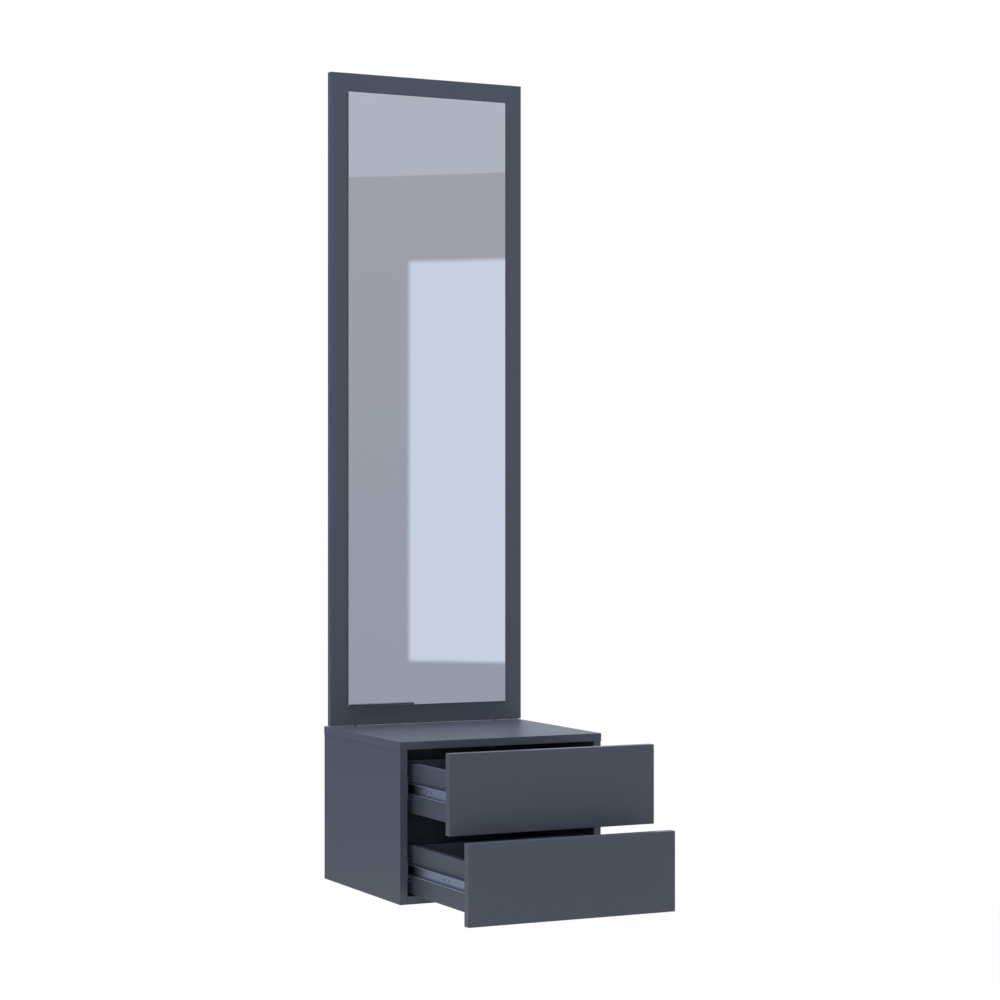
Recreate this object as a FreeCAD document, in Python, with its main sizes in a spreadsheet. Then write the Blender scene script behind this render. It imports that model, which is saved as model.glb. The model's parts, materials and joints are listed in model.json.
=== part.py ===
import FreeCAD, Part
import os
import re
import Sketcher
from collections import defaultdict

# Wall cabinet with two drawers on full extension ball slides and a tall mirror panel above it.
# Millimetres. X runs to the right, Y into the wall and Z up. The wall plane is Y = 0, and the
# origin lies midway between the two holes that take the cabinet's wall screws.

# Driving dimensions
SIZES = {
    # Carcass boards
    "cabinet_width": 450,
    "cabinet_height": 323,
    "board_thickness": 16,
    "back_thickness": 8,
    "top_overhang": 0.8,
    "edge_radius": 0.6,
    "hanging_rail_height": 80,
    "wall_hole_inset": 49,
    "wall_hole_radius": 3.25,
    # Drawer fronts, and how far the drawers stand open at rest
    "front_thickness": 18,
    "front_edge_radius": 1,
    "front_side_reveal": 2.5,
    "front_base_reveal": 1.5,
    "front_top_reveal": 3.3,
    "front_gap": 4.2,
    "front_clearance": 2,
    "upper_opening": 208,
    "lower_opening": 292,
    # Drawer boxes
    "box_slide_margin": 5,
    "box_board_thickness": 16,
    "box_lift": 17,
    "box_top_drop": 42,
    "box_back_drop": 6,
    "box_bottom_thickness": 4,
    "box_bottom_lift": 10,
    "box_groove_depth": 5,
    "box_groove_clearance": 0.2,
    # Ball slides
    "slide_gap": 12.7,
    "slide_length": 350,
    "slide_setback": 2,
    "slide_rear_clearance": 24,
    "slide_lift": 50,
    "rail_gauge": 1.2,
    "rail_clearance": 0.3,
    "inner_rail_height": 22.5,
    "middle_rail_inset": 4,
    "raceway_depth": 0.8,
    "raceway_offset": 2.4,
    "raceway_reach": 3,
    "outer_ball_radius": 2.5,
    "inner_ball_radius": 2,
    "ball_clearance": 0.2,
    "cage_gauge": 0.5,
    "outer_cage_length": 120,
    "inner_cage_length": 46,
    "cage_end_margin": 10,
    "cage_rim": 0.7,
    "rail_screw_first": 50,
    "rail_screw_last": 59,
    "spare_hole_radius": 2.2,
    # Mirror panel
    "mirror_side_reveal": 1,
    "mirror_height": 1381,
    "mirror_board_thickness": 16,
    "mirror_gap": 2,
    "mirror_margin": 40,
    "glass_thickness": 3,
    "glass_edge_radius": 0.4,
    "tape_thickness": 1,
    "tape_width": 20,
    "tape_inset": 40,
    "batten_thickness": 16,
    "batten_height": 80,
    "hanger_bar_height": 27,
    "batten_inset": 40,
    "upper_batten_drop": 80,
    "lower_batten_rise": 40,
    "batten_screw_inset": 20,
    # Pins that seat the mirror board on the cabinet's top
    "pin_radius": 3,
    "pin_length": 26,
    "pin_top_depth": 11,
    "pin_inset": 60,
    # Hanger plates, let in flush with the wall side
    "plate_thickness": 2,
    "hanger_inset": 64,
    "hanger_width": 30,
    "hanger_bar_margin": 5,
    "hanger_screw_inset": 9,
    "keyhole_radius": 5,
    "keyhole_slot_radius": 2.75,
    "keyhole_slot_length": 12,
    "keyhole_gap_margin": 2,
    # Fasteners
    "screw_radius": 1.75,
    "screw_head_radius": 3.5,
    "screw_head_height": 2,
    "screw_tip_length": 3,
    "screw_recess_width": 0.9,
    "screw_recess_length": 4,
    "screw_recess_depth": 1,
    "rail_screw_length": 14,
    "plate_screw_length": 20,
    "batten_screw_length": 25,
    "back_screw_length": 30,
    "box_screw_length": 40,
    "box_screw_inset": 16,
    "bottom_screw_length": 20,
    "fastener_clearance": 0.05,
    "cam_radius": 7.5,
    "cam_depth": 12.5,
    "cam_distance": 24,
    "cam_slot_width": 2,
    "cam_slot_length": 9,
    "cam_slot_depth": 2,
    "cam_bolt_radius": 3.2,
    "cam_bolt_clearance": 0.4,
    "cam_thread_radius": 2.5,
    "cam_thread_length": 11,
    "dowel_radius": 4,
    "dowel_length": 30,
    "dowel_face_length": 10,
    "joint_inset": 50,
    "joint_pitch": 32,
    "rail_joint_offset": 16,
    # How far a cutting shape runs past the face that it opens
    "overrun": 1,
}

# Counts
SCREWS_IN_A_RAIL = 3
OUTER_BALLS_IN_A_ROW = 6
INNER_BALLS_IN_A_ROW = 4
TAPE_STRIPS = 4

# Places and sizes that follow from the driving dimensions
PLACES = {
    # Carcass, with heights counted from the wall screw holes
    "cabinet_inner_depth": "slide_setback + slide_length + slide_rear_clearance",
    "cabinet_depth": "cabinet_inner_depth + board_thickness + back_thickness",
    "half_width": "cabinet_width / 2",
    "half_inner": "cabinet_width / 2 - board_thickness",
    "base_z": "board_thickness + hanging_rail_height / 2 - cabinet_height",
    "top_z": "hanging_rail_height / 2",
    "wall_hole_x": "half_inner - wall_hole_inset",
    "side_depth": "cabinet_depth - back_thickness",
    "side_height": "cabinet_height - board_thickness",
    # Drawers, with the front's rear face as each box's start
    "front_height": "(cabinet_height - front_base_reveal - front_gap - front_top_reveal) / 2",
    "lower_front_z": "base_z + front_base_reveal",
    "upper_front_z": "lower_front_z + front_height + front_gap",
    "closed_y": "-cabinet_depth - front_clearance",
    "upper_box_y": "closed_y - upper_opening",
    "lower_box_y": "closed_y - lower_opening",
    "half_front": "half_width - front_side_reveal",
    "half_box": "half_inner - slide_gap",
    "half_box_inner": "half_box - box_board_thickness",
    "box_depth": "slide_length + box_slide_margin",
    "box_side_height": "front_height - box_lift - box_top_drop",
    "box_floor_lift": "box_bottom_lift + box_bottom_thickness",
    "box_back_height": "box_side_height - box_floor_lift - box_back_drop",
    # Slides, counted from the carcass side towards the drawer
    "outer_cage_u": "rail_gauge + rail_clearance",
    "middle_rail_u": "outer_cage_u + cage_gauge + rail_clearance",
    "inner_cage_u": "middle_rail_u + rail_gauge + rail_clearance",
    "inner_rail_u": "inner_cage_u + cage_gauge + rail_clearance",
    "raceway_u": "inner_rail_u + raceway_offset",
    "flange_end_u": "raceway_u + raceway_reach",
    # Slides, counted up and down from the slide's centre line
    "inner_rail_half": "inner_rail_height / 2",
    "inner_rail_hollow": "inner_rail_half - raceway_depth - rail_gauge",
    "inner_ball_rise": "inner_rail_half - raceway_depth + inner_ball_radius + ball_clearance",
    "middle_rail_hollow": "inner_ball_rise + inner_ball_radius + ball_clearance - raceway_depth",
    "middle_rail_half": "middle_rail_hollow + 2 * raceway_depth + rail_gauge",
    "outer_ball_rise": "middle_rail_half - raceway_depth + outer_ball_radius + ball_clearance",
    "outer_rail_hollow": "outer_ball_rise + outer_ball_radius + ball_clearance - raceway_depth",
    "outer_rail_half": "outer_rail_hollow + raceway_depth + rail_gauge",
    # Slides along their length
    "outer_rail_y": "slide_setback - cabinet_depth",
    "inner_rail_setback": "slide_setback + front_clearance",
    "middle_rail_length": "slide_length - 2 * middle_rail_inset",
    "slide_middle_y": "outer_rail_y + slide_length / 2",
    "rail_screw_span": "slide_length - rail_screw_first - rail_screw_last",
    "rail_screw_pitch": f"rail_screw_span / {SCREWS_IN_A_RAIL - 1}",
    # Mirror panel
    "mirror_z": "base_z + cabinet_height + mirror_gap",
    "half_mirror": "half_width - mirror_side_reveal",
    "glass_height": "mirror_height - 2 * mirror_margin",
    "half_glass": "half_mirror - mirror_margin",
    "mirror_front_y": "-batten_thickness - mirror_board_thickness",
    "half_batten": "half_mirror - batten_inset",
    "lower_batten_z": "mirror_z + lower_batten_rise",
    "hanger_gap": "2 * (keyhole_radius + keyhole_gap_margin) + keyhole_slot_length",
    "upper_batten_z": "mirror_z + mirror_height - upper_batten_drop - hanger_bar_height",
    "middle_batten_z": "upper_batten_z - hanger_gap - hanger_bar_height",
    "hanger_x": "half_batten - hanger_inset",
    "hanger_z": "upper_batten_z - hanger_gap / 2",
    "hanger_height": "2 * (hanger_bar_height - hanger_bar_margin) + hanger_gap",
    "keyhole_z": "hanger_z - keyhole_slot_length / 2",
    "pin_x": "half_mirror - pin_inset",
    "pin_y": "mirror_front_y + mirror_board_thickness / 2",
    "pin_z": "base_z + cabinet_height - pin_top_depth",
}

# Heights of the back panel's screws as shares of the side's height, and their places along the
# bottom board as shares of half the inner width
BACK_SIDE_SCREW_SHARES = (0.12, 0.43, 0.75)
BACK_BASE_SCREW_SHARES = (-0.6, 0, 0.6)
BOX_BASE_SCREW_SHARES = (-0.6, 0, 0.6)

# Heights of the cams and dowels behind a drawer front as shares of the box side's height
BOX_CAM_SHARES = (0.33, 0.67)
BOX_DOWEL_SHARES = (0.5, 0.84)

# The part of an inner rail's way that the balls under it roll
CAGE_SHARE = 0.5

# Places of an inner rail's spare holes as shares of the way from its first screw to its second
SPARE_HOLE_SHARES = (0.56, 0.74)

# The battens behind the mirror board, and those that the hanger plates lie across
BATTEN_HEIGHTS = {"lower": "batten_height", "middle": "hanger_bar_height", "upper": "hanger_bar_height"}
HANGER_BATTENS = ("middle_batten", "upper_batten")

LEFT = -1
RIGHT = 1
SIDE_NAMES = {LEFT: "left", RIGHT: "right"}
ENDS = (-1, 1)

RIGHTWARDS = FreeCAD.Vector(1, 0, 0)
WALLWARDS = FreeCAD.Vector(0, 1, 0)
FORWARDS = FreeCAD.Vector(0, -1, 0)
UPWARDS = FreeCAD.Vector(0, 0, 1)

doc = FreeCAD.newDocument("WallCabinet")
blanks = {}
cutters = defaultdict(list)


# Sheets and formulas


def fill_sheet(name, cells):
    """Make a sheet with one named cell a row."""
    sheet = doc.addObject("Spreadsheet::Sheet", name)
    for row, (alias, content) in enumerate(cells.items(), start=1):
        sheet.set(f"A{row}", alias)
        sheet.set(f"B{row}", content)
        sheet.setAlias(f"B{row}", alias)
    return sheet


def qualified(formula):
    """Write each size or place in a formula with the name of its sheet."""

    def with_sheet(match):
        word = match.group(0)
        if word in SIZES:
            return f"Sizes.{word}"
        if word in PLACES:
            return f"Places.{word}"
        return word

    return re.sub(r"[a-z][a-z_]*", with_sheet, str(formula))


def value(formula):
    return float(places_sheet.evalExpression(qualified(formula)))


def bind(obj, **formulas):
    for name, formula in formulas.items():
        obj.setExpression(name, qualified(formula))
    return obj


def place(obj, x, y, z, rotation=None):
    """Bind an object's place to formulas, after turning it."""
    if rotation is not None:
        obj.Placement = FreeCAD.Placement(FreeCAD.Vector(), rotation)
    for axis, formula in zip("xyz", (x, y, z)):
        obj.setExpression(f"Placement.Base.{axis}", qualified(formula))
    return obj


def turned(z_axis, x_axis=None):
    """The turn that takes +Z to one direction and, where given, +X to another."""
    if x_axis is None:
        return FreeCAD.Rotation(UPWARDS, z_axis)
    return FreeCAD.Rotation(x_axis, z_axis.cross(x_axis), z_axis, "ZXY")


def across(side, near, far):
    """The lower X of what lies between two distances from the centre line, on one side."""
    return near if side == RIGHT else f"-({far})"


def out(side, distance):
    """The X at a distance from the centre line, on one side."""
    return distance if side == RIGHT else f"-({distance})"


# Solids


def box(name, corner, size):
    solid = doc.addObject("Part::Box", name)
    bind(solid, Length=size[0], Width=size[1], Height=size[2])
    return place(solid, *corner)


def cylinder(name, radius, length, start, direction=UPWARDS):
    solid = doc.addObject("Part::Cylinder", name)
    bind(solid, Radius=radius, Height=length)
    return place(solid, *start, turned(direction))


def cone(name, start_radius, end_radius, length, start):
    solid = doc.addObject("Part::Cone", name)
    bind(solid, Radius1=start_radius, Radius2=end_radius, Height=length)
    return place(solid, *start)


def fuse(name, shapes):
    solid = doc.addObject("Part::MultiFuse", name)
    solid.Shapes = shapes
    return solid


def cut(name, base, tool):
    solid = doc.addObject("Part::Cut", name)
    solid.Base = base
    solid.Tool = tool
    return solid


def group(name, shapes):
    compound = doc.addObject("Part::Compound", name)
    compound.Links = shapes
    return compound


def copy_of(master, name, spot, rotation=None):
    """One more of a master solid, at a place of its own."""
    link = doc.addObject("App::Link", name)
    link.LinkedObject = master
    link.LinkTransform = True
    return place(link, *spot, rotation)


def board(label, corner, size, radius="edge_radius"):
    """A board with rounded edges: a sketched rectangle, padded up from its lower corner."""
    body = doc.addObject("PartDesign::Body", f"{label}_board")
    sketch = body.newObject("Sketcher::SketchObject", f"{label}_outline")
    plane = next(item for item in body.Origin.OriginFeatures if item.Role == "XY_Plane")
    sketch.AttachmentSupport = [(plane, "")]
    sketch.MapMode = "FlatFace"
    width, depth = value(size[0]), value(size[1])
    corners = [(0, 0), (width, 0), (width, depth), (0, depth)]
    points = [FreeCAD.Vector(*corner_point, 0) for corner_point in corners]
    for index, point in enumerate(points):
        sketch.addGeometry(Part.LineSegment(point, points[(index + 1) % len(points)]), False)
    for index in range(len(points)):
        following = (index + 1) % len(points)
        sketch.addConstraint(Sketcher.Constraint("Coincident", index, 2, following, 1))
        direction = "Vertical" if index % 2 else "Horizontal"
        sketch.addConstraint(Sketcher.Constraint(direction, index))
    sketch.addConstraint(Sketcher.Constraint("Coincident", 0, 1, -1, 1))
    across_x = sketch.addConstraint(Sketcher.Constraint("DistanceX", 0, 1, 0, 2, width))
    sketch.renameConstraint(across_x, "width")
    across_y = sketch.addConstraint(Sketcher.Constraint("DistanceY", 1, 1, 1, 2, depth))
    sketch.renameConstraint(across_y, "depth")
    sketch.setExpression("Constraints.width", qualified(size[0]))
    sketch.setExpression("Constraints.depth", qualified(size[1]))
    pad = body.newObject("PartDesign::Pad", f"{label}_pad")
    pad.Profile = sketch
    bind(pad, Length=size[2])
    doc.recompute([body, sketch, pad])
    rounding = body.newObject("PartDesign::Fillet", f"{label}_rounding")
    rounding.Base = (pad, [])
    rounding.UseAllEdges = True
    bind(rounding, Radius=radius)
    blanks[label] = place(body, *corner)


def channel(label, side, near, far, heights, run, raceways, gauge="rail_gauge", web="far"):
    """A channel along Y, open towards the drawer or, with its web near, towards the carcass."""
    half, hollow, centre_z = heights
    start_y, length = run
    envelope = box(
        f"{label}_envelope",
        (across(side, near, far), start_y, f"{centre_z} - {half}"),
        (f"{far} - ({near})", length, f"2 * ({half})"),
    )
    if web == "far":
        hollow_near, hollow_far = f"{near} - overrun", f"{far} - {gauge}"
    else:
        hollow_near, hollow_far = f"{near} + {gauge}", f"{far} + overrun"
    tools = [
        box(
            f"{label}_hollow",
            (across(side, hollow_near, hollow_far), f"{start_y} - overrun", f"{centre_z} - {hollow}"),
            (f"{hollow_far} - ({hollow_near})", f"{length} + 2 * overrun", f"2 * ({hollow})"),
        )
    ]
    for ball_radius, rise in raceways:
        for end in ENDS:
            tools.append(
                cylinder(
                    f"{label}_raceway",
                    f"{ball_radius} + ball_clearance",
                    f"{length} + 2 * overrun",
                    (
                        out(side, "half_inner - raceway_u"),
                        f"{start_y} - overrun",
                        f"{centre_z} + {end} * {rise}",
                    ),
                    WALLWARDS,
                )
            )
    tool = fuse(f"{label}_tools", tools) if raceways else tools[0]
    blanks[label] = cut(f"{label}_channel", envelope, tool)


# Fasteners


def screw_solid(name, length, clearance):
    """A countersunk screw along +Z from its head's face, or the hole that it needs."""
    margin = "fastener_clearance" if clearance else "0"
    shank_radius = f"screw_radius + {margin}"
    head = cone(
        f"{name}_head",
        f"screw_head_radius + {margin}",
        shank_radius,
        "screw_head_height",
        ("0", "0", "0"),
    )
    shank_length = f"{length} - screw_tip_length - screw_head_height"
    shank = cylinder(f"{name}_shank", shank_radius, shank_length, ("0", "0", "screw_head_height"))
    tip_z = f"{length} - screw_tip_length"
    tip = cone(f"{name}_tip", shank_radius, "0", f"screw_tip_length + {margin}", ("0", "0", tip_z))
    return fuse(f"{name}_solid", [head, shank, tip])


def screw_with_hole(name, length):
    plain = screw_solid(f"{name}_plain", length, clearance=False)
    blades = []
    for end, sizes in enumerate(
        (("screw_recess_width", "screw_recess_length"), ("screw_recess_length", "screw_recess_width"))
    ):
        blades.append(
            box(
                f"{name}_blade_{end}",
                (f"-{sizes[0]} / 2", f"-{sizes[1]} / 2", "-overrun"),
                (sizes[0], sizes[1], "overrun + screw_recess_depth"),
            )
        )
    screw = cut(f"{name}_screw", plain, fuse(f"{name}_recess", blades))
    return screw, screw_solid(f"{name}_hole", length, clearance=True)


def cam_with_holes(name, thickness):
    """A cam housing and its bolt, at a joint face with the bolt along +Z and the cam facing +X.

    The cam and the bolt's shaft lie in the board behind the joint face, and the bolt's thread in
    the board before it.
    """
    face = f"{thickness} / 2"
    housing_start = (f"{face} - cam_depth", "0", "-cam_distance")
    drum = cylinder(f"{name}_drum", "cam_radius", "cam_depth", housing_start, RIGHTWARDS)
    bolt_way = cylinder(
        f"{name}_bolt_way",
        "cam_bolt_radius + cam_bolt_clearance",
        "cam_radius + overrun + cam_bolt_clearance",
        ("0", "0", "-cam_distance - cam_bolt_clearance"),
    )
    slot = box(
        f"{name}_slot",
        (f"{face} - cam_slot_depth", "-cam_slot_width / 2", "-cam_distance - cam_slot_length / 2"),
        ("cam_slot_depth + overrun", "cam_slot_width", "cam_slot_length"),
    )
    housing = cut(f"{name}_housing", drum, fuse(f"{name}_openings", [bolt_way, slot]))
    shaft = cylinder(f"{name}_shaft", "cam_bolt_radius", "cam_distance", ("0", "0", "-cam_distance"))
    thread = cylinder(f"{name}_thread", "cam_thread_radius", "cam_thread_length", ("0", "0", "0"))
    bolt = fuse(f"{name}_bolt", [shaft, thread])
    bore = cylinder(
        f"{name}_bore",
        "cam_radius + fastener_clearance",
        "cam_depth + fastener_clearance + overrun",
        (f"{face} - cam_depth - fastener_clearance", "0", "-cam_distance"),
        RIGHTWARDS,
    )
    shaft_bore = cylinder(
        f"{name}_shaft_bore",
        "cam_bolt_radius + cam_bolt_clearance",
        "cam_distance + overrun",
        ("0", "0", "-cam_distance"),
    )
    carrier_hole = fuse(f"{name}_carrier_hole", [bore, shaft_bore])
    thread_hole = cylinder(
        f"{name}_thread_hole",
        "cam_thread_radius + fastener_clearance",
        "cam_thread_length + fastener_clearance + overrun",
        ("0", "0", "-overrun"),
    )
    return group(f"{name}_fitting", [housing, bolt]), carrier_hole, thread_hole


def dowel_with_hole():
    """A dowel across a joint face, with the shorter end along +Z."""
    start = "dowel_face_length - dowel_length"
    dowel = cylinder("dowel_pin", "dowel_radius", "dowel_length", ("0", "0", start))
    hole = cylinder(
        "dowel_hole",
        "dowel_radius + fastener_clearance",
        "dowel_length + 2 * fastener_clearance",
        ("0", "0", f"{start} - fastener_clearance"),
    )
    return dowel, hole


def fasten(members, fastener, spot, rotation, *holes):
    """Add one fastener to a group and open its holes; each hole is a solid and the nodes it cuts."""
    members.append(copy_of(fastener, "fastener", spot, rotation))
    for hole, nodes in holes:
        for node in nodes:
            cutters[node].append(copy_of(hole, "hole", spot, rotation))


# The two sheets
fill_sheet("Sizes", {alias: str(size) for alias, size in SIZES.items()})
doc.recompute()
places_sheet = fill_sheet("Places", {alias: "=" + qualified(text) for alias, text in PLACES.items()})
doc.recompute()

# Fasteners that several groups share
rail_screw, rail_screw_hole = screw_with_hole("rail", "rail_screw_length")
plate_screw, plate_screw_hole = screw_with_hole("plate", "plate_screw_length")
batten_screw, batten_screw_hole = screw_with_hole("batten", "batten_screw_length")
back_screw, back_screw_hole = screw_with_hole("back", "back_screw_length")
box_screw, box_screw_hole = screw_with_hole("box", "box_screw_length")
bottom_screw, bottom_screw_hole = screw_with_hole("bottom", "bottom_screw_length")
carcass_cam, carcass_cam_hole, carcass_thread_hole = cam_with_holes("carcass_cam", "board_thickness")
box_cam, box_cam_hole, box_thread_hole = cam_with_holes("box_cam", "box_board_thickness")
dowel, dowel_hole = dowel_with_hole()


# Carcass


def carcass_boards():
    board(
        "cabinet_top",
        ("-half_width - top_overhang", "-cabinet_depth - top_overhang", "top_z"),
        ("cabinet_width + 2 * top_overhang", "cabinet_depth + top_overhang", "board_thickness"),
    )
    for side, name in SIDE_NAMES.items():
        board(
            f"cabinet_{name}_side",
            (across(side, "half_inner", "half_width"), "-cabinet_depth", "base_z"),
            ("board_thickness", "side_depth", "side_height"),
        )
    board(
        "cabinet_bottom",
        ("-half_inner", "-cabinet_depth", "base_z"),
        ("2 * half_inner", "side_depth", "board_thickness"),
    )
    board(
        "cabinet_back",
        ("-half_width", "-back_thickness", "base_z"),
        ("cabinet_width", "back_thickness", "side_height"),
    )
    board(
        "hanging_rail",
        ("-half_inner", "-back_thickness - board_thickness", "-top_z"),
        ("2 * half_inner", "board_thickness", "hanging_rail_height"),
    )
    for end in ENDS:
        wall_hole = cylinder(
            "wall_hole",
            "wall_hole_radius",
            "back_thickness + board_thickness + 2 * overrun",
            (f"{end} * wall_hole_x", "overrun", "0"),
            FORWARDS,
        )
        for node in ("cabinet_back", "hanging_rail"):
            cutters[node].append(wall_hole)


def carcass_joints():
    """Cams and dowels at the corners, and the screws of the back panel."""
    cams, dowels, screws = [], [], []
    front_start, back_start = "-cabinet_depth + joint_inset", "-back_thickness - joint_inset"
    joint_rows = (
        (front_start, f"{front_start} + joint_pitch"),
        (back_start, f"{back_start} - joint_pitch"),
    )
    for side, name in SIDE_NAMES.items():
        side_node = f"cabinet_{name}_side"
        inwards = RIGHTWARDS * -side
        side_centre = out(side, "half_inner + board_thickness / 2")
        joint_x = out(side, "half_inner")
        for cam_y, dowel_y in joint_rows:
            top_turn = turned(UPWARDS, inwards)
            top_spot = (side_centre, cam_y, "top_z")
            top_holes = ((carcass_cam_hole, [side_node]), (carcass_thread_hole, ["cabinet_top"]))
            fasten(cams, carcass_cam, top_spot, top_turn, *top_holes)
            dowel_spot = (side_centre, dowel_y, "top_z")
            fasten(dowels, dowel, dowel_spot, top_turn, (dowel_hole, [side_node, "cabinet_top"]))
            base_turn = turned(inwards * -1, UPWARDS)
            base_spot = (joint_x, cam_y, "base_z + board_thickness / 2")
            base_holes = ((carcass_cam_hole, ["cabinet_bottom"]), (carcass_thread_hole, [side_node]))
            fasten(cams, carcass_cam, base_spot, base_turn, *base_holes)
            dowel_spot = (joint_x, dowel_y, "base_z + board_thickness / 2")
            fasten(dowels, dowel, dowel_spot, base_turn, (dowel_hole, [side_node, "cabinet_bottom"]))
        rail_turn = turned(inwards * -1, FORWARDS)
        rail_y = "-back_thickness - board_thickness / 2"
        rail_holes = ((carcass_cam_hole, ["hanging_rail"]), (carcass_thread_hole, [side_node]))
        fasten(cams, carcass_cam, (joint_x, rail_y, "rail_joint_offset"), rail_turn, *rail_holes)
        dowel_spot = (joint_x, rail_y, "-rail_joint_offset")
        fasten(dowels, dowel, dowel_spot, rail_turn, (dowel_hole, [side_node, "hanging_rail"]))
        for share in BACK_SIDE_SCREW_SHARES:
            spot = (side_centre, "0", f"base_z + {share} * side_height")
            hole = (back_screw_hole, [side_node, "cabinet_back"])
            fasten(screws, back_screw, spot, turned(FORWARDS), hole)
    for share in BACK_BASE_SCREW_SHARES:
        spot = (f"{share} * half_inner", "0", "base_z + board_thickness / 2")
        hole = (back_screw_hole, ["cabinet_bottom", "cabinet_back"])
        fasten(screws, back_screw, spot, turned(FORWARDS), hole)
    blanks["carcass_cam_fittings"] = group("carcass_cams", cams)
    blanks["carcass_dowels"] = group("carcass_dowel_pins", dowels)
    blanks["back_panel_screws"] = group("back_screws", screws)


# Mirror panel


def mirror_panel():
    board(
        "mirror_board",
        ("-half_mirror", "mirror_front_y", "mirror_z"),
        ("2 * half_mirror", "mirror_board_thickness", "mirror_height"),
        "front_edge_radius",
    )
    board(
        "mirror_glass",
        ("-half_glass", "mirror_front_y - tape_thickness - glass_thickness", "mirror_z + mirror_margin"),
        ("2 * half_glass", "glass_thickness", "glass_height"),
        "glass_edge_radius",
    )
    strips = []
    tape_pitch = f"(2 * (half_glass - tape_inset) - tape_width) / {TAPE_STRIPS - 1}"
    for index in range(TAPE_STRIPS):
        strips.append(
            box(
                "tape_strip",
                (
                    f"tape_inset - half_glass + {index} * {tape_pitch}",
                    "mirror_front_y - tape_thickness",
                    "mirror_z + mirror_margin + tape_inset",
                ),
                ("tape_width", "tape_thickness", "glass_height - 2 * tape_inset"),
            )
        )
    blanks["mirror_tape_strips"] = group("tape_strips", strips)
    screws = []
    for name, height in BATTEN_HEIGHTS.items():
        node = f"{name}_batten"
        board(
            node,
            ("-half_batten", "-batten_thickness", f"{name}_batten_z"),
            ("2 * half_batten", "batten_thickness", height),
        )
        for step in (-1, 0, 1):
            spot = (
                f"{step} * (half_batten - batten_screw_inset)",
                "0",
                f"{name}_batten_z + {height} / 2",
            )
            hole = (batten_screw_hole, [node, "mirror_board"])
            fasten(screws, batten_screw, spot, turned(FORWARDS), hole)
    blanks["batten_screws"] = group("batten_screw_group", screws)


def hanger_plates():
    """Two keyhole plates across the gap between two battens, which takes the wall screws' heads."""
    plates, screws = [], []
    plate_z = "hanger_z - hanger_height / 2"
    for end in ENDS:
        centre_x = f"{end} * hanger_x"
        keyhole_start = (centre_x, "overrun", "keyhole_z")
        depth = "plate_thickness + 2 * overrun"
        keyhole = fuse(
            "keyhole",
            [
                cylinder("keyhole_entry", "keyhole_radius", depth, keyhole_start, FORWARDS),
                cylinder(
                    "keyhole_seat",
                    "keyhole_slot_radius",
                    depth,
                    (centre_x, "overrun", "keyhole_z + keyhole_slot_length"),
                    FORWARDS,
                ),
                box(
                    "keyhole_slot",
                    (f"{centre_x} - keyhole_slot_radius", "-plate_thickness - overrun", "keyhole_z"),
                    ("2 * keyhole_slot_radius", depth, "keyhole_slot_length"),
                ),
            ],
        )
        plate = box(
            "hanger_blank",
            (f"{centre_x} - hanger_width / 2", "-plate_thickness", plate_z),
            ("hanger_width", "plate_thickness", "hanger_height"),
        )
        openings = [keyhole]
        for step, batten in zip(ENDS, HANGER_BATTENS):
            spot = (centre_x, "0", f"hanger_z + {step} * (hanger_height / 2 - hanger_screw_inset)")
            hole = (plate_screw_hole, [batten, "mirror_board"])
            fasten(screws, plate_screw, spot, turned(FORWARDS), hole)
            openings.append(copy_of(plate_screw_hole, "hole", spot, turned(FORWARDS)))
        plates.append(cut("hanger_plate", plate, group("hanger_openings", openings)))
        recess = box(
            "plate_recess",
            (
                f"{centre_x} - hanger_width / 2 - fastener_clearance",
                "-plate_thickness - fastener_clearance",
                f"{plate_z} - fastener_clearance",
            ),
            (
                "hanger_width + 2 * fastener_clearance",
                "plate_thickness + fastener_clearance + overrun",
                "hanger_height + 2 * fastener_clearance",
            ),
        )
        for batten in HANGER_BATTENS:
            cutters[batten].append(recess)
    blanks["hanger_plates"] = group("hanger_plate_pair", plates)
    blanks["plate_screws"] = group("plate_screw_group", screws)


def locating_pins():
    """Two pins that seat the mirror board's lower edge on the cabinet's top."""
    pins = []
    for end in ENDS:
        centre_x = f"{end} * pin_x"
        pins.append(cylinder("pin", "pin_radius", "pin_length", (centre_x, "pin_y", "pin_z")))
        hole = cylinder(
            "pin_hole",
            "pin_radius + fastener_clearance",
            "pin_length + 2 * fastener_clearance",
            (centre_x, "pin_y", "pin_z - fastener_clearance"),
        )
        for node in ("cabinet_top", "mirror_board"):
            cutters[node].append(hole)
    blanks["locating_pins"] = group("pin_pair", pins)


# Drawers


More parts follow.
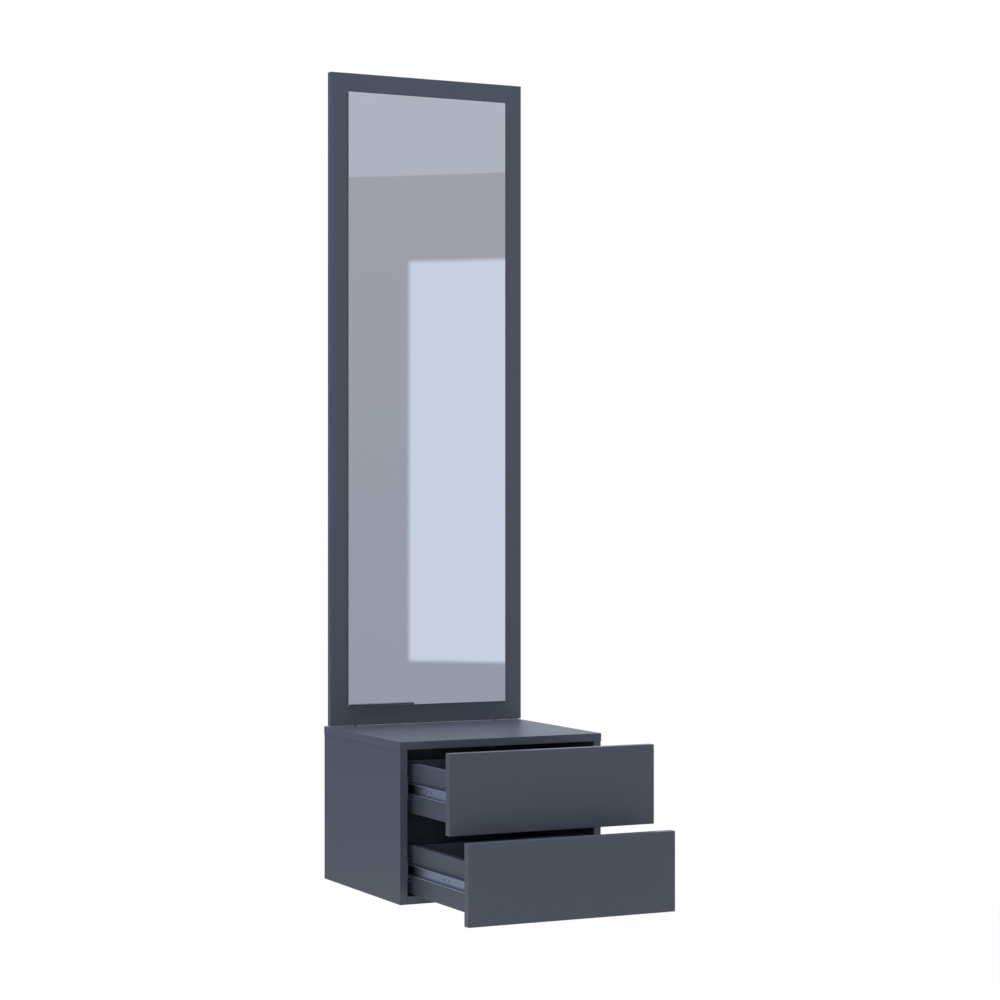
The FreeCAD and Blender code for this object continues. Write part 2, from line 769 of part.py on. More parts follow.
def drawer_box(name):
    """One drawer: its front and the box behind it."""
    front_z, start_y = f"{name}_front_z", f"{name}_box_y"
    box_z = f"{front_z} + box_lift"
    front, bottom, back = f"{name}_drawer_front", f"{name}_drawer_bottom", f"{name}_drawer_back"
    board(
        front,
        ("-half_front", f"{start_y} - front_thickness", front_z),
        ("2 * half_front", "front_thickness", "front_height"),
        "front_edge_radius",
    )
    board(
        bottom,
        (
            "-half_box_inner - box_groove_depth + box_groove_clearance",
            f"{start_y} - box_groove_depth + box_groove_clearance",
            f"{box_z} + box_bottom_lift",
        ),
        (
            "2 * (half_box_inner + box_groove_depth - box_groove_clearance)",
            "box_depth + box_groove_depth - box_groove_clearance",
            "box_bottom_thickness",
        ),
    )
    back_y = f"{start_y} + box_depth - box_board_thickness"
    back_z = f"{box_z} + box_floor_lift"
    board(
        back,
        ("-half_box_inner", back_y, back_z),
        ("2 * half_box_inner", "box_board_thickness", "box_back_height"),
    )
    groove = box(
        f"{name}_groove",
        (
            "-half_box_inner - box_groove_depth",
            f"{start_y} - box_groove_depth",
            f"{box_z} + box_bottom_lift - box_groove_clearance",
        ),
        (
            "2 * (half_box_inner + box_groove_depth)",
            "box_depth + box_groove_depth + overrun",
            "box_bottom_thickness + 2 * box_groove_clearance",
        ),
    )
    cutters[front].append(groove)
    cams, dowels, screws = [], [], []
    for side, side_name in SIDE_NAMES.items():
        side_node = f"{name}_drawer_{side_name}_side"
        board(
            side_node,
            (across(side, "half_box_inner", "half_box"), start_y, box_z),
            ("box_board_thickness", "box_depth", "box_side_height"),
        )
        cutters[side_node].append(groove)
        inwards = RIGHTWARDS * -side
        side_centre = out(side, "half_box - box_board_thickness / 2")
        front_turn = turned(FORWARDS, inwards)
        for share in BOX_CAM_SHARES:
            spot = (side_centre, start_y, f"{box_z} + {share} * box_side_height")
            holes = ((box_cam_hole, [side_node]), (box_thread_hole, [front]))
            fasten(cams, box_cam, spot, front_turn, *holes)
        for share in BOX_DOWEL_SHARES:
            spot = (side_centre, start_y, f"{box_z} + {share} * box_side_height")
            fasten(dowels, dowel, spot, front_turn, (dowel_hole, [side_node, front]))
        for screw_z in (
            f"{back_z} + box_screw_inset",
            f"{back_z} + box_back_height - box_screw_inset",
        ):
            spot = (out(side, "half_box"), f"{back_y} + box_board_thickness / 2", screw_z)
            fasten(screws, box_screw, spot, turned(inwards), (box_screw_hole, [side_node, back]))
    for share in BOX_BASE_SCREW_SHARES:
        spot = (
            f"{share} * half_box_inner",
            f"{back_y} + box_board_thickness / 2",
            f"{box_z} + box_bottom_lift",
        )
        fasten(screws, bottom_screw, spot, turned(UPWARDS), (bottom_screw_hole, [bottom, back]))
    blanks[f"{name}_drawer_cam_fittings"] = group(f"{name}_box_cams", cams)
    blanks[f"{name}_drawer_dowels"] = group(f"{name}_box_dowels", dowels)
    blanks[f"{name}_drawer_screws"] = group(f"{name}_box_screws", screws)


def ball_cage(name, side, stage, count, cage_y, centre_z):
    """A cage that wraps one rail, with its balls in two rows."""
    radius, rise = f"{stage}_ball_radius", f"{stage}_ball_rise"
    label = f"{name}_{SIDE_NAMES[side]}_{stage}_cage"
    far = f"half_inner - {stage}_cage_u"
    near = f"half_inner - raceway_u - {radius} - ball_clearance - cage_rim"
    heights = (f"({rise} + cage_gauge / 2)", f"({rise} - cage_gauge / 2)", centre_z)
    length = f"{stage}_cage_length"
    run = (f"{cage_y} - {length} / 2", length)
    channel(label, side, near, far, heights, run, (), gauge="cage_gauge")
    centre_x = out(side, "half_inner - raceway_u")
    balls = []
    ball_pitch = f"({length} - 2 * cage_end_margin) / {count - 1}"
    for index in range(count):
        ball_y = f"{cage_y} + {ball_pitch} * ({index} - {count - 1} / 2)"
        cutters[label].append(
            cylinder(
                "ball_hole",
                f"{radius} + ball_clearance",
                f"2 * ({rise} + cage_gauge)",
                (centre_x, ball_y, f"{centre_z} - {rise} - cage_gauge"),
            )
        )
        for end in ENDS:
            ball = bind(doc.addObject("Part::Sphere", "ball"), Radius=radius)
            balls.append(place(ball, centre_x, ball_y, f"{centre_z} + {end} * {rise}"))
    cage = cut(f"{label}_drilled", blanks.pop(label), group(f"{label}_holes", cutters.pop(label)))
    return cage, balls


def rail_screws(members, rail, side_node, side, spot_u, rail_y, centre_z, direction):
    for index in range(SCREWS_IN_A_RAIL):
        spot = (
            out(side, f"half_inner - {spot_u}"),
            f"{rail_y} + rail_screw_first + {index} * rail_screw_pitch",
            centre_z,
        )
        fasten(members, rail_screw, spot, turned(direction), (rail_screw_hole, [rail, side_node]))


def drawer_slides(name, outer_screws):
    """The pair of ball slides that carries one drawer, each of three nested rails.

    The inner rails are drawn out first, so the middle rails still lie in the outer ones.
    """
    centre_z = f"{name}_front_z + box_lift + slide_lift"
    inner_y = f"{name}_box_y + inner_rail_setback"
    middle_run = ("outer_rail_y + middle_rail_inset", "middle_rail_length")
    stages = (
        ("outer", "slide_middle_y", OUTER_BALLS_IN_A_ROW),
        ("inner", f"(slide_middle_y - {CAGE_SHARE} * {name}_opening)", INNER_BALLS_IN_A_ROW),
    )
    flange_end = "half_inner - flange_end_u"
    outer_race = ("outer_ball_radius", "outer_ball_rise")
    inner_race = ("inner_ball_radius", "inner_ball_rise")
    inner_screws = []
    cages = {"outer": [], "inner": []}
    balls = {"outer": [], "inner": []}
    for side, side_name in SIDE_NAMES.items():
        inwards = RIGHTWARDS * -side
        outer = f"{name}_{side_name}_outer_rail"
        outer_heights = ("outer_rail_half", "outer_rail_hollow", centre_z)
        outer_run = ("outer_rail_y", "slide_length")
        channel(outer, side, flange_end, "half_inner", outer_heights, outer_run, [outer_race])
        carcass_side = f"cabinet_{side_name}_side"
        rail_screws(
            outer_screws, outer, carcass_side, side, "rail_gauge", "outer_rail_y", centre_z, inwards * -1
        )
        channel(
            f"{name}_{side_name}_middle_rail",
            side,
            flange_end,
            "half_inner - middle_rail_u",
            ("middle_rail_half", "middle_rail_hollow", centre_z),
            middle_run,
            [outer_race, inner_race],
        )
        inner = f"{name}_{side_name}_inner_rail"
        channel(
            inner,
            side,
            "half_box",
            "half_inner - inner_rail_u",
            ("inner_rail_half", "inner_rail_hollow", centre_z),
            (inner_y, "slide_length"),
            [inner_race],
            web="near",
        )
        box_side = f"{name}_drawer_{side_name}_side"
        screw_u = "(slide_gap - rail_gauge)"
        rail_screws(inner_screws, inner, box_side, side, screw_u, inner_y, centre_z, inwards)
        for share in SPARE_HOLE_SHARES:
            cutters[inner].append(
                cylinder(
                    "spare_hole",
                    "spare_hole_radius",
                    "rail_gauge + overrun",
                    (
                        out(side, "half_box + rail_gauge + overrun"),
                        f"{inner_y} + rail_screw_first + {share} * rail_screw_pitch",
                        centre_z,
                    ),
                    inwards,
                )
            )
        for stage, cage_y, count in stages:
            cage, cage_balls = ball_cage(name, side, stage, count, cage_y, centre_z)
            cages[stage].append(cage)
            balls[stage].extend(cage_balls)
    blanks[f"{name}_inner_rail_screws"] = group(f"{name}_inner_screws", inner_screws)
    for stage in cages:
        blanks[f"{name}_{stage}_cages"] = group(f"{name}_{stage}_cage_pair", cages[stage])
        blanks[f"{name}_{stage}_balls"] = group(f"{name}_{stage}_ball_set", balls[stage])


# Finished pieces


def finished_pieces():
    """Cut each blank's holes and grooves, and give the result its own label."""
    pieces = {}
    for label, blank in blanks.items():
        if cutters[label]:
            piece = cut(f"{label}_finished", blank, group(f"{label}_cuts", cutters[label]))
        else:
            piece = blank
        piece.Label = label
        pieces[label] = piece
    doc.recompute()
    return pieces


def check_model(pieces):
    for obj in doc.Objects:
        if "Invalid" in obj.State or "Error" in obj.State:
            raise RuntimeError(f"{obj.Label} failed: {obj.State}")
    for label, piece in pieces.items():
        if piece.Shape.isNull() or not piece.Shape.isValid() or not piece.Shape.Solids:
            raise RuntimeError(f"{label} has no sound shape")
        if piece.Label != label:
            raise RuntimeError(f"{label} is labelled {piece.Label}")


def write_pieces(pieces):
    os.makedirs("parts", exist_ok=True)
    for label, piece in pieces.items():
        piece.Shape.exportStep(f"parts/{label}.step")


carcass_boards()
carcass_joints()
mirror_panel()
hanger_plates()
locating_pins()
outer_rail_screws = []
for drawer in ("upper", "lower"):
    drawer_box(drawer)
    drawer_slides(drawer, outer_rail_screws)
blanks["outer_rail_screws"] = group("outer_rail_screw_group", outer_rail_screws)

all_pieces = finished_pieces()
check_model(all_pieces)
write_pieces(all_pieces)
print(len(all_pieces), "pieces,", sum(len(piece.Shape.Solids) for piece in all_pieces.values()), "solids")
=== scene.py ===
import json
import math

import bpy
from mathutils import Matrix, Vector


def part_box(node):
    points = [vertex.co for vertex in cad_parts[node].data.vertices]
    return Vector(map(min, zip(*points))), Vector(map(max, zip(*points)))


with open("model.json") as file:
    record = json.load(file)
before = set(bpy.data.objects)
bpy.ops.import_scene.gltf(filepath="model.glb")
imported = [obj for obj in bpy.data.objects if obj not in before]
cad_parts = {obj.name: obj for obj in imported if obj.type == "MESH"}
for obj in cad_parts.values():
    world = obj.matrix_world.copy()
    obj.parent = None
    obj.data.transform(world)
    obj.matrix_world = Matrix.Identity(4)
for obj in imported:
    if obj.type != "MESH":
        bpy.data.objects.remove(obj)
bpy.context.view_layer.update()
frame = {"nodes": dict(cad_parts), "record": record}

# Finishes, stage, light and camera for a wall cabinet with two drawers and a mirror panel above it.
# Metres. X runs to the right, Y into the wall and Z up, as in the frame.

X_AXIS, Y_AXIS, Z_AXIS = range(3)

# Camera, fitted to the photographed edges
PHOTO_WIDTH_PIXELS = 1000
FOCAL_LENGTH_PIXELS = 2562.8
SENSOR_WIDTH_MM = 36
CAMERA_PLACE = (-2.2598, -5.0508, 0.5353)
CAMERA_YAW = math.radians(25.862)

# Finishes
BOARD_IOR = 1.4
PASSIVATION_TINT = (0.9, 1.0, 1.12)

# Floor. Where it is seen, its share of plain white grows with the distance from the object.
FLOOR_Z = -0.62
FLOOR_HALF_SIZE = 14
FLOOR_COLOUR = (0.65, 0.65, 0.65)
FLOOR_WHITE_SHARES = (0.92, 1.0)
FLOOR_FADE = (0.9, 2.6)

# Round studio. The wall's tone changes over a span of Y towards the back, and there over a span of X.
ROOM_FRONT_Y = -7.8
ROOM_BACK_Y = 1.6
ROOM_STEPS = 96
CEILING_Z = 2.16
CEILING_COLOUR = (0.505, 0.515, 0.59)
WALL_COLOUR_LOW = (0.345, 0.37, 0.44)
WALL_COLOUR_HIGH = (0.4, 0.398, 0.448)
WALL_COLOUR_BACK = (0.42, 0.475, 0.64)
WALL_COLOUR_BACK_RIGHT = (0.82, 0.86, 0.95)
WALL_BACK_SPAN = (-1.2, 0.2)
WALL_RIGHT_SPAN = (-0.2, 0.7)

# Two upright light panels on the studio's wall, at equal angles left and right of straight ahead
PANEL_COLOUR = (0.67, 0.72, 0.83)
PANEL_ANGLES = (math.radians(23.4), math.radians(30))
PANEL_HEIGHTS = (-0.27, 1.73)
PANEL_SOFT_ANGLE = math.radians(0.12)
PANEL_SOFT_HEIGHT = 0.016

# Light. Each lamp is square, with its place, its power in watts and its side.
WORLD_COLOUR = (1.0, 1.0, 1.0)
WORLD_STRENGTH = 0.23
LAMP_TARGET = (0, -0.3, 0.4)
LAMPS = {
    "top_lamp": ((-0.5, -0.4, 4.4), 258, 1.6),
    "left_lamp": ((-4.2, -1.6, 1.3), 28, 1.8),
    "right_lamp": ((3.2, -4.2, 1.4), 54, 2.4),
    "front_lamp": ((-2.3, -5.2, 0.6), 76, 1.0),
    "back_lamp": ((1.6, 3.0, 2.2), 60, 2.0),
}


# Node trees


def opaque(colour):
    return (*colour, 1.0)


def shade(colour, factor):
    return tuple(channel * factor for channel in colour)


class Shading:
    """A node tree, with short calls for the nodes that several surfaces share."""

    def __init__(self, tree):
        self.tree = tree

    def add(self, kind, **settings):
        node = self.tree.nodes.new(kind)
        for name, value in settings.items():
            setattr(node, name, value)
        return node

    def feed(self, socket, source):
        """Link a socket to another, or set it to a constant."""
        if isinstance(source, bpy.types.NodeSocket):
            self.tree.links.new(source, socket)
        else:
            socket.default_value = source

    def place(self):
        return self.add("ShaderNodeTexCoord").outputs["Object"]

    def component(self, vector, axis):
        split = self.add("ShaderNodeSeparateXYZ")
        self.feed(split.inputs["Vector"], vector)
        return split.outputs[axis]

    def compute(self, operation, *sources):
        node = self.add("ShaderNodeMath", operation=operation)
        for socket, source in zip(node.inputs, sources):
            self.feed(socket, source)
        return node.outputs["Value"]

    def spread(self, source, low, high, start=0.0, end=1.0, kind="LINEAR"):
        """Map a value from start..end to low..high."""
        node = self.add("ShaderNodeMapRange", interpolation_type=kind)
        for socket, value in zip(node.inputs, (source, start, end, low, high)):
            self.feed(socket, value)
        return node.outputs["Result"]

    def rise(self, source, start, end):
        """0 up to the start and 1 from the end on, with a smooth change between them."""
        return self.spread(source, 0.0, 1.0, start, end, "SMOOTHSTEP")

    def between(self, source, ends, soft):
        """1 between two ends and 0 outside, with soft edges."""
        first, last = ends
        past_first = self.rise(source, first - soft, first + soft)
        before_last = self.spread(source, 1.0, 0.0, last - soft, last + soft, "SMOOTHSTEP")
        return self.compute("MULTIPLY", past_first, before_last)

    def mix(self, factor, first, second):
        """Mix two colours."""
        node = self.add("ShaderNodeMix", data_type="RGBA")
        for name, source in (("Factor_Float", factor), ("A_Color", first), ("B_Color", second)):
            socket = next(item for item in node.inputs if item.identifier == name)
            self.feed(socket, opaque(source) if isinstance(source, tuple) else source)
        return next(item for item in node.outputs if item.identifier == "Result_Color")

    def seen(self):
        """1 where the camera sees the surface, also in a reflection or through glass."""
        path = self.add("ShaderNodeLightPath")
        direct = self.compute("MAXIMUM", path.outputs["Is Camera Ray"], path.outputs["Is Glossy Ray"])
        return self.compute("MAXIMUM", direct, path.outputs["Is Transmission Ray"])


class Finish(Shading):
    """A material with one principled shader."""

    def __init__(self, name, **constants):
        self.material = bpy.data.materials.new(name)
        self.material.use_nodes = True
        super().__init__(self.material.node_tree)
        self.shader = self.tree.nodes["Principled BSDF"]
        for socket, value in constants.items():
            self.shader.inputs[socket].default_value = value

    def noise(self, feature, detail, stretch=(1, 1, 1)):
        """Noise with features of a given size, drawn out along the axes by the stretch."""
        mapping = self.add("ShaderNodeMapping")
        self.feed(mapping.inputs["Vector"], self.place())
        mapping.inputs["Scale"].default_value = [1 / (feature * factor) for factor in stretch]
        node = self.add("ShaderNodeTexNoise")
        self.feed(node.inputs["Vector"], mapping.outputs["Vector"])
        node.inputs["Scale"].default_value = 1
        node.inputs["Detail"].default_value = detail
        return node.outputs["Fac"]

    def facing(self, axis):
        """How far the surface faces along an axis, from 0 to 1 either way."""
        normal = self.add("ShaderNodeNewGeometry").outputs["True Normal"]
        return self.compute("ABSOLUTE", self.component(normal, axis))

    def vary(self, mask, colour, low, high):
        """A colour in shades that follow a mask."""
        return self.mix(mask, shade(colour, low), shade(colour, high))

    def tint(self, tone, mask, amount, colour):
        """A tone that takes some of another colour where a mask says so."""
        return self.mix(self.compute("MULTIPLY", mask, amount), tone, colour)

    def bump(self, height, distance, strength):
        node = self.add("ShaderNodeBump")
        self.feed(node.inputs["Height"], height)
        node.inputs["Distance"].default_value = distance
        node.inputs["Strength"].default_value = strength
        self.feed(self.shader.inputs["Normal"], node.outputs["Normal"])

    def colour(self, source):
        self.feed(self.shader.inputs["Base Color"], source)

    def roughness(self, source):
        self.feed(self.shader.inputs["Roughness"], source)


class Glow(Shading):
    """A plain lit surface."""

    def __init__(self, name):
        self.material = bpy.data.materials.new(name)
        self.material.use_nodes = True
        super().__init__(self.material.node_tree)
        self.tree.nodes.clear()
        self.output = self.add("ShaderNodeOutputMaterial").inputs["Surface"]
        self.light = self.add("ShaderNodeEmission")
        self.feed(self.output, self.light.outputs["Emission"])

    def colour(self, source):
        self.feed(self.light.inputs["Color"], source)


# Finishes


def laminate(axis):
    """Slate laminate on a board that is thin along an axis.

    It has a fine pearl grain and smoother banding on the narrow edges. Its rounded corners are
    painted paler, partly as a painted highlight where light catches the edge radius and partly as
    wear.
    """
    face_colour = (0.052, 0.061, 0.085)
    speckle_colour = shade(face_colour, 1.25)
    edge_colour = shade(face_colour, 1.06)
    # Rounded corners painted paler: partly a painted highlight where the edge radius catches light,
    # partly wear.
    corner_highlight_and_wear_colour = shade(face_colour, 1.5)
    edge_amount = 0.4
    corner_highlight_and_wear_amount = 0.5
    grain_roughness = 0.06
    edge_roughness = -0.05
    finish = Finish(f"slate_laminate_{'xyz'[axis]}", IOR=BOARD_IOR)
    cloud = finish.noise(feature=0.35, detail=2.0)
    grain = finish.noise(feature=0.0009, detail=2.0)
    speckle = finish.spread(grain, low=0.0, high=0.35, start=0.55, end=0.8)
    edge = finish.spread(finish.facing(axis), low=1.0, high=0.0, start=0.3, end=0.7)
    flats = finish.compute("MAXIMUM", finish.facing(X_AXIS), finish.facing(Y_AXIS))
    flats = finish.compute("MAXIMUM", flats, finish.facing(Z_AXIS))
    # Painted highlight and wear: the rounded corners, where no axis dominates the normal, get the
    # paler colour.
    corner_highlight_and_wear = finish.spread(flats, low=1.0, high=0.0, start=0.8, end=0.98)
    tone = finish.vary(cloud, face_colour, low=0.95, high=1.05)
    tone = finish.mix(speckle, tone, speckle_colour)
    tone = finish.tint(tone, edge, edge_amount, edge_colour)
    finish.colour(finish.tint(tone, corner_highlight_and_wear, corner_highlight_and_wear_amount, corner_highlight_and_wear_colour))
    gloss = finish.spread(cloud, low=0.36, high=0.41)
    gloss = finish.compute("MULTIPLY_ADD", grain, grain_roughness, gloss)
    finish.roughness(finish.compute("MULTIPLY_ADD", edge, edge_roughness, gloss))
    finish.bump(grain, distance=0.00004, strength=0.6)
    return finish.material


def hardboard():
    """Thin dark hardboard with the fine fibres of its pressed face."""
    colour = (0.043, 0.05, 0.068)
    finish = Finish("dark_hardboard", IOR=BOARD_IOR)
    fibres = finish.noise(feature=0.0012, detail=4.0, stretch=(6, 1, 1))
    finish.colour(finish.vary(fibres, colour, low=0.8, high=1.2))
    finish.roughness(finish.spread(fibres, low=0.55, high=0.7))
    finish.bump(fibres, distance=0.00008, strength=0.5)
    return finish.material


def raw_board():
    """Raw chipboard: pale chips of several tones, pressed flat."""
    dark_chip = (0.36, 0.25, 0.145)
    pale_chip = (0.58, 0.43, 0.27)
    dust_colour = (0.47, 0.35, 0.22)
    dust_amount = 0.5
    chips_per_metre = (220, 600, 420)
    finish = Finish("raw_chipboard", IOR=BOARD_IOR)
    mapping = finish.add("ShaderNodeMapping")
    finish.feed(mapping.inputs["Vector"], finish.place())
    mapping.inputs["Scale"].default_value = chips_per_metre
    chips = finish.add("ShaderNodeTexVoronoi", feature="F1")
    finish.feed(chips.inputs["Vector"], mapping.outputs["Vector"])
    chips.inputs["Scale"].default_value = 1
    chance = finish.add("ShaderNodeSeparateColor")
    finish.feed(chance.inputs["Color"], chips.outputs["Color"])
    tone = finish.mix(chance.outputs["Red"], dark_chip, pale_chip)
    dust = finish.noise(feature=0.0007, detail=3.0)
    finish.colour(finish.tint(tone, dust, dust_amount, dust_colour))
    finish.roughness(finish.spread(dust, low=0.7, high=0.9))
    finish.bump(chips.outputs["Distance"], distance=0.0002, strength=0.4)
    return finish.material


def mirror():
    """Silvered glass: a bright face and back, and pale ground edges."""
    silver = (0.86, 0.885, 0.9)
    ground = (0.27, 0.36, 0.36)
    finish = Finish("silvered_glass", IOR=1.5)
    face = finish.spread(finish.facing(Y_AXIS), low=0.0, high=1.0, start=0.85, end=0.97)
    haze = finish.noise(feature=0.12, detail=3.0)
    grit = finish.noise(feature=0.0008, detail=1.0)
    finish.colour(finish.mix(face, ground, finish.vary(haze, silver, low=0.985, high=1.0)))
    finish.feed(finish.shader.inputs["Metallic"], face)
    gloss = finish.spread(haze, low=0.006, high=0.016)
    rough_edge = finish.spread(grit, low=0.3, high=0.45)
    side = finish.compute("SUBTRACT", 1.0, face)
    finish.roughness(finish.compute("MULTIPLY_ADD", side, rough_edge, gloss))
    return finish.material


def foam_tape():
    """White foam with fine cells."""
    colour = (0.62, 0.62, 0.6)
    finish = Finish("foam_tape", IOR=1.35)
    cells = finish.noise(feature=0.0006, detail=2.0)
    finish.colour(finish.vary(cells, colour, low=0.85, high=1.0))
    finish.roughness(finish.spread(cells, low=0.8, high=0.95))
    finish.bump(cells, distance=0.0001, strength=0.6)
    return finish.material


def plated_steel(name, colour, stretch):
    """Zinc plate over rolled steel: draw lines one way, and clouds of blue passivation."""
    cool_colour = tuple(channel * factor for channel, factor in zip(colour, PASSIVATION_TINT))
    line_colour = shade(colour, 0.75)
    line_amount = 0.35
    finish = Finish(name, Metallic=1.0)
    lines = finish.noise(feature=0.0005, detail=2.0, stretch=stretch)
    cloud = finish.noise(feature=0.02, detail=3.0)
    tone = finish.vary(cloud, colour, low=0.86, high=1.1)
    cool = finish.spread(cloud, low=0.0, high=0.5, start=0.4, end=0.7)
    tone = finish.mix(cool, tone, cool_colour)
    finish.colour(finish.tint(tone, lines, line_amount, line_colour))
    finish.roughness(finish.spread(lines, low=0.26, high=0.4))
    finish.bump(lines, distance=0.00003, strength=0.5)
    return finish.material


def polished_balls():
    """Bearing steel under a thin film of grease."""
    colour = (0.7, 0.71, 0.73)
    finish = Finish("polished_balls", Metallic=1.0)
    film = finish.noise(feature=0.002, detail=2.0)
    finish.colour(finish.vary(film, colour, low=0.85, high=1.0))
    finish.roughness(finish.spread(film, low=0.08, high=0.18))
    return finish.material


def cast_zinc():
    """Cast zinc with a dull, slightly grainy skin."""
    colour = (0.36, 0.365, 0.375)
    finish = Finish("cast_zinc", Metallic=1.0)
    skin = finish.noise(feature=0.0007, detail=3.0)
    finish.colour(finish.vary(skin, colour, low=0.8, high=1.1))
    finish.roughness(finish.spread(skin, low=0.4, high=0.58))
    finish.bump(skin, distance=0.00006, strength=0.6)
    return finish.material


def beech():
    """Beech dowels with short dark flecks."""
    fleck_colour = (0.46, 0.3, 0.165)
    wood_colour = (0.66, 0.48, 0.3)
    finish = Finish("beech", IOR=BOARD_IOR)
    flecks = finish.noise(feature=0.0006, detail=4.0, stretch=(6, 6, 6))
    finish.colour(finish.mix(flecks, fleck_colour, wood_colour))
    finish.roughness(finish.spread(flecks, low=0.5, high=0.65))
    finish.bump(flecks, distance=0.00005, strength=0.5)
    return finish.material


def thin_axis(node):
    """The axis along which a board is thinnest."""
    low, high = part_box(node)
    size = high - low
    return min(range(len(size)), key=lambda axis: size[axis])


def dress_nodes():
    """Give each node the finish of its material slot."""
    boards = {axis: laminate(axis) for axis in (X_AXIS, Y_AXIS, Z_AXIS)}
    finishes = {
        "drawer_base": hardboard(),
        "plain_board": raw_board(),
        "mirror": mirror(),
        "foam_tape": foam_tape(),
        "slide_steel": plated_steel("slide_steel", (0.3, 0.33, 0.37), stretch=(1, 60, 1)),
        "cage_steel": plated_steel("cage_steel", (0.36, 0.38, 0.42), stretch=(1, 40, 1)),
        "ball_steel": polished_balls(),
        "cast_zinc": cast_zinc(),
        "screw_steel": plated_steel("screw_steel", (0.42, 0.44, 0.48), stretch=(4, 4, 4)),
        "plate_steel": plated_steel("plate_steel", (0.45, 0.46, 0.49), stretch=(1, 1, 50)),
        "dowel_wood": beech(),
    }
    for subpart in frame["record"]["subparts"]:
        name, slot = subpart["node"], subpart["material_slot"]
        finish = boards[thin_axis(name)] if slot == "slate_board" else finishes[slot]
        for material_slot in frame["nodes"][name].material_slots:
            material_slot.material = finish


# Stage


def add_mesh(name, points, faces):
    mesh = bpy.data.meshes.new(name)
    mesh.from_pydata(points, [], faces)
    piece = bpy.data.objects.new(name, mesh)
    bpy.context.scene.collection.objects.link(piece)
    return piece


def lay_floor():
    """A pale floor, near white where it is seen, that still takes the object's shadow."""
    half = FLOOR_HALF_SIZE
    corners = [(-half, -half), (half, -half), (half, half), (-half, half)]
    floor = add_mesh("floor", [(x, y, FLOOR_Z) for x, y in corners], [(0, 1, 2, 3)])
    glow = Glow("pale_floor")
    diffuse = glow.add("ShaderNodeBsdfDiffuse")
    diffuse.inputs["Color"].default_value = opaque(FLOOR_COLOUR)
    place = glow.place()
    across_squared = glow.compute("POWER", glow.component(place, X_AXIS), 2.0)
    along_squared = glow.compute("POWER", glow.component(place, Y_AXIS), 2.0)
    distance = glow.compute("SQRT", glow.compute("ADD", across_squared, along_squared))
    share = glow.spread(distance, *FLOOR_WHITE_SHARES, *FLOOR_FADE, "SMOOTHSTEP")
    blend = glow.add("ShaderNodeMixShader")
    glow.feed(blend.inputs["Fac"], glow.compute("MULTIPLY", glow.seen(), share))
    glow.feed(blend.inputs[1], diffuse.outputs["BSDF"])
    glow.feed(blend.inputs[2], glow.light.outputs["Emission"])
    glow.feed(glow.output, blend.outputs["Shader"])
    floor.data.materials.append(glow.material)


def only_reflected(piece, glow):
    """Let a stage piece show in reflections alone: it casts neither light nor shadow."""
    piece.data.materials.append(glow.material)
    piece.visible_camera = False
    piece.visible_diffuse = False
    piece.visible_shadow = False


def wall_glow():
    """A pale wall, lighter above and at the back right, with two upright light panels in front."""
    glow = Glow("studio_wall")
    place = glow.place()
    across = glow.component(place, X_AXIS)
    along = glow.component(place, Y_AXIS)
    height = glow.component(place, Z_AXIS)
    upper = glow.spread(height, 0.0, 1.0, FLOOR_Z, CEILING_Z)
    front_tone = glow.mix(upper, WALL_COLOUR_LOW, WALL_COLOUR_HIGH)
    right = glow.rise(across, *WALL_RIGHT_SPAN)
    back_tone = glow.mix(right, WALL_COLOUR_BACK, WALL_COLOUR_BACK_RIGHT)
    tone = glow.mix(glow.rise(along, *WALL_BACK_SPAN), front_tone, back_tone)
    sideways = glow.compute("ABSOLUTE", across)
    forwards = glow.compute("MULTIPLY", along, -1.0)
    angle = glow.compute("ARCTAN2", sideways, forwards)
    wide = glow.between(angle, PANEL_ANGLES, PANEL_SOFT_ANGLE)
    high = glow.between(height, PANEL_HEIGHTS, PANEL_SOFT_HEIGHT)
    glow.colour(glow.mix(glow.compute("MULTIPLY", wide, high), tone, PANEL_COLOUR))
    return glow


def ceiling_glow():
    glow = Glow("studio_ceiling")
    glow.colour(opaque(CEILING_COLOUR))
    return glow


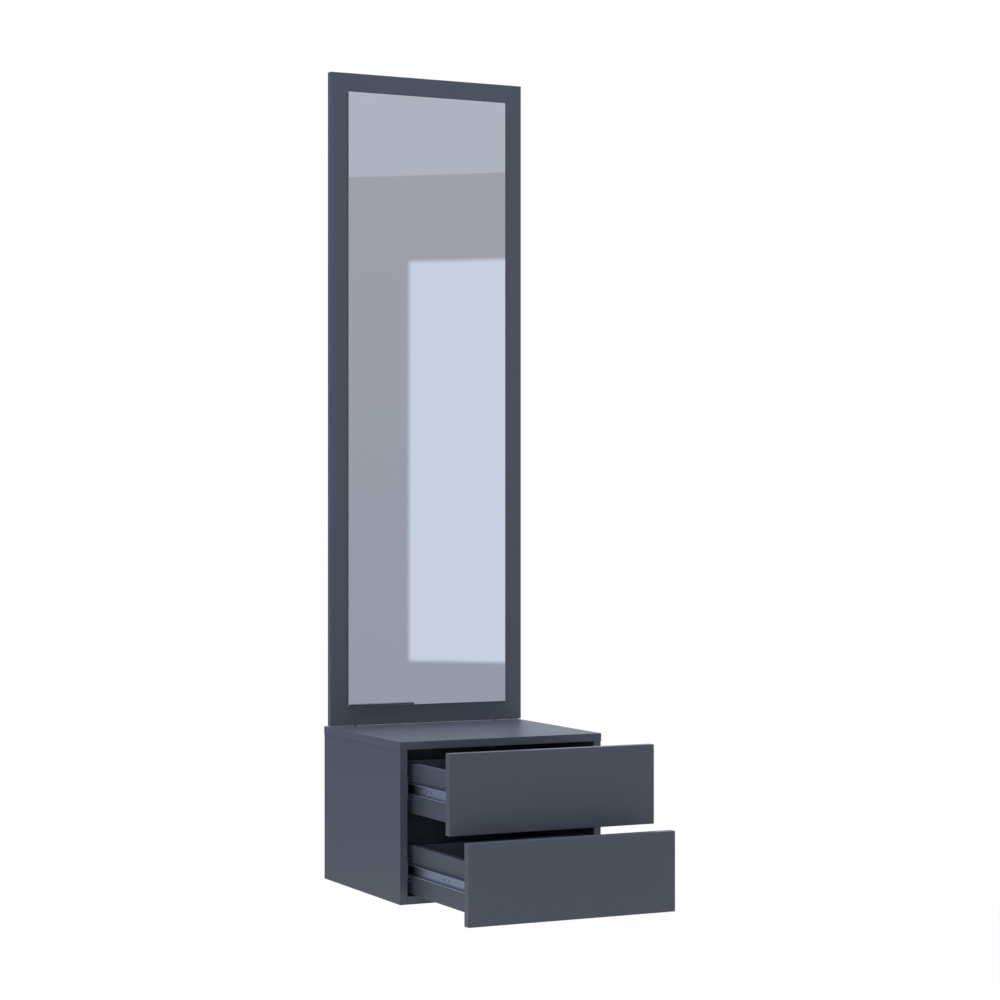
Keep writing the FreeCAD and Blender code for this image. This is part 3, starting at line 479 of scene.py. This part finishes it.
def build_room():
    """The plain round studio that the mirror faces."""
    turns = [2 * math.pi * step / ROOM_STEPS for step in range(ROOM_STEPS)]
    radius = (ROOM_BACK_Y - ROOM_FRONT_Y) / 2
    centre_y = (ROOM_BACK_Y + ROOM_FRONT_Y) / 2
    rim = [(radius * math.sin(turn), centre_y - radius * math.cos(turn)) for turn in turns]
    low_rim = [(x, y, FLOOR_Z) for x, y in rim]
    high_rim = [(x, y, CEILING_Z) for x, y in rim]
    count = len(rim)
    faces = [(i, (i + 1) % count, count + (i + 1) % count, count + i) for i in range(count)]
    only_reflected(add_mesh("studio_wall", low_rim + high_rim, faces), wall_glow())
    only_reflected(add_mesh("studio_ceiling", high_rim, [tuple(range(count))]), ceiling_glow())


# Light and camera


def light_world():
    """White where it is seen, and a plain level of light on everything else."""
    world = bpy.data.worlds.new("studio")
    bpy.context.scene.world = world
    world.use_nodes = True
    shading = Shading(world.node_tree)
    background = world.node_tree.nodes["Background"]
    background.inputs["Color"].default_value = opaque(WORLD_COLOUR)
    shading.feed(background.inputs["Strength"], shading.spread(shading.seen(), WORLD_STRENGTH, 1.0))


def add_lamp(name, place, power, side):
    """A soft square lamp that points at the object."""
    lamp = bpy.data.lights.new(name, "AREA")
    lamp.shape = "SQUARE"
    lamp.size = side
    lamp.energy = power
    holder = bpy.data.objects.new(name, lamp)
    bpy.context.scene.collection.objects.link(holder)
    holder.location = place
    holder.rotation_euler = (Vector(LAMP_TARGET) - Vector(place)).to_track_quat("-Z", "Y").to_euler()
    holder.visible_camera = False
    holder.visible_glossy = False


def add_camera():
    """A level camera at the photograph's viewing angle."""
    data = bpy.data.cameras.new("photo_camera")
    data.sensor_width = SENSOR_WIDTH_MM
    data.lens = SENSOR_WIDTH_MM * FOCAL_LENGTH_PIXELS / PHOTO_WIDTH_PIXELS
    camera = bpy.data.objects.new("photo_camera", data)
    bpy.context.scene.collection.objects.link(camera)
    camera.location = CAMERA_PLACE
    camera.rotation_euler = (math.pi / 2, 0, -CAMERA_YAW)
    bpy.context.scene.camera = camera


dress_nodes()
lay_floor()
build_room()
light_world()
for lamp_name, (lamp_place, lamp_power, lamp_side) in LAMPS.items():
    add_lamp(lamp_name, lamp_place, lamp_power, lamp_side)
add_camera()
bpy.context.scene.view_settings.view_transform = "Standard"
